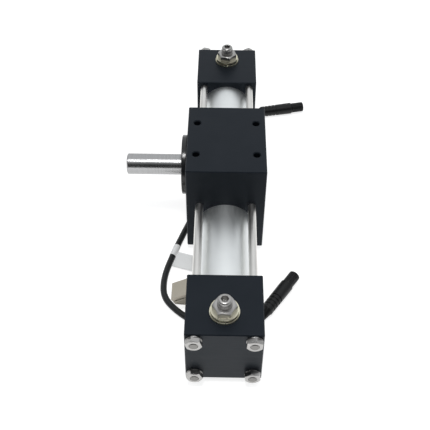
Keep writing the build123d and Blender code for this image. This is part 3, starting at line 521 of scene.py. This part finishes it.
def add_floor():
    """White paper to the camera and in reflections; its colour holds a painted shadow, darker
    round the object, so as a light it is dimmer there.
    """
    bpy.ops.mesh.primitive_plane_add(size=FLOOR_SIZE, location=(0, 0, FLOOR_Z * MM))
    floor = bpy.context.object
    floor.name = "floor"
    material, shader = node_material("floor_white")
    shader.inputs["Roughness"].default_value = 0.9
    shader.inputs["Specular IOR Level"].default_value = 0.0
    nodes = material.node_tree.nodes
    place = nodes.new("ShaderNodeTexCoord")
    split = nodes.new("ShaderNodeSeparateXYZ")
    # Painted shadow of the object: the floor's colour darkens from the front towards the
    # object.
    shade = nodes.new("ShaderNodeMapRange")
    shade.inputs["From Min"].default_value = FRONT_FLOOR_Y
    shade.inputs["From Max"].default_value = NEAR_FLOOR_Y
    shade.inputs["To Min"].default_value = FRONT_FLOOR_SHADE
    shade.inputs["To Max"].default_value = NEAR_FLOOR_PAINTED_SHADOW
    material.node_tree.links.new(place.outputs["Object"], split.inputs["Vector"])
    material.node_tree.links.new(split.outputs["Y"], shade.inputs["Value"])
    material.node_tree.links.new(shade.outputs["Result"], shader.inputs["Base Color"])
    path = nodes.new("ShaderNodeLightPath")
    seen = nodes.new("ShaderNodeMath")
    seen.operation = "MAXIMUM"
    lift = nodes.new("ShaderNodeMath")
    lift.operation = "MULTIPLY"
    lift.inputs[1].default_value = FLOOR_LIFT
    material.node_tree.links.new(path.outputs["Is Camera Ray"], seen.inputs[0])
    material.node_tree.links.new(path.outputs["Is Glossy Ray"], seen.inputs[1])
    material.node_tree.links.new(seen.outputs["Value"], lift.inputs[0])
    material.node_tree.links.new(lift.outputs["Value"], shader.inputs["Emission Strength"])
    shader.inputs["Emission Color"].default_value = (1, 1, 1, 1)
    floor.data.materials.append(material)


def add_world():
    """White to the camera; as a light, brightest high behind the object."""
    world = bpy.data.worlds.new("studio")
    world.use_nodes = True
    bpy.context.scene.world = world
    nodes = world.node_tree.nodes
    links = world.node_tree.links
    nodes.clear()
    place = nodes.new("ShaderNodeTexCoord")
    towards = nodes.new("ShaderNodeVectorMath")
    towards.operation = "DOT_PRODUCT"
    towards.inputs[1].default_value = BRIGHTEST_SIDE
    ramp = nodes.new("ShaderNodeMapRange")
    ramp.inputs["From Min"].default_value = SKY_START
    ramp.inputs["From Max"].default_value = 1.0
    ramp.inputs["To Min"].default_value = DIM_SKY
    ramp.inputs["To Max"].default_value = BRIGHT_SKY
    path = nodes.new("ShaderNodeLightPath")
    light = nodes.new("ShaderNodeBackground")
    seen = nodes.new("ShaderNodeBackground")
    mix = nodes.new("ShaderNodeMixShader")
    output = nodes.new("ShaderNodeOutputWorld")
    links.new(place.outputs["Generated"], towards.inputs[0])
    links.new(towards.outputs["Value"], ramp.inputs["Value"])
    links.new(ramp.outputs["Result"], light.inputs["Strength"])
    light.inputs["Color"].default_value = (*WORLD_TINT, 1)
    seen.inputs["Color"].default_value = (1, 1, 1, 1)
    links.new(path.outputs["Is Camera Ray"], mix.inputs["Fac"])
    links.new(light.outputs["Background"], mix.inputs[1])
    links.new(seen.outputs["Background"], mix.inputs[2])
    links.new(mix.outputs["Shader"], output.inputs["Surface"])


# Settings of the floor, the world and the lamp
FLOOR_SIZE = 6
SKY_START = -0.2
# The floor's colour runs from the front shade to a painted shadow near the object.
FRONT_FLOOR_Y = -0.21
NEAR_FLOOR_Y = -0.13
FRONT_FLOOR_SHADE = 0.8
NEAR_FLOOR_PAINTED_SHADOW = 0.5
FLOOR_LIFT = 0.80
BRIGHTEST_SIDE = (0.14, 0.70, 0.70)
DIM_SKY = 0.04
BRIGHT_SKY = 0.92
WORLD_TINT = (0.96, 0.98, 1.0)
LAMPS = (
    ("front_top", (0.0, -0.20, 0.90), 0.18, 3.0),
)


def add_lamps():
    target = Vector((HOUSING_X * MM, 0, 0))
    for name, place, size, power in LAMPS:
        data = bpy.data.lights.new(name, "AREA")
        data.size = size
        data.energy = power
        lamp = bpy.data.objects.new(name, data)
        lamp.location = place
        aim = target - Vector(place)
        lamp.rotation_euler = aim.to_track_quat("-Z", "Y").to_euler()
        bpy.context.scene.collection.objects.link(lamp)


def main():
    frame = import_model()
    add_camera()
    leads = list(add_leads(frame["nodes"]))
    dress(frame, leads)
    add_floor()
    add_world()
    add_lamps()
    bpy.context.scene.view_settings.view_transform = "Standard"
    bpy.context.view_layer.update()
    return frame


frame = main()
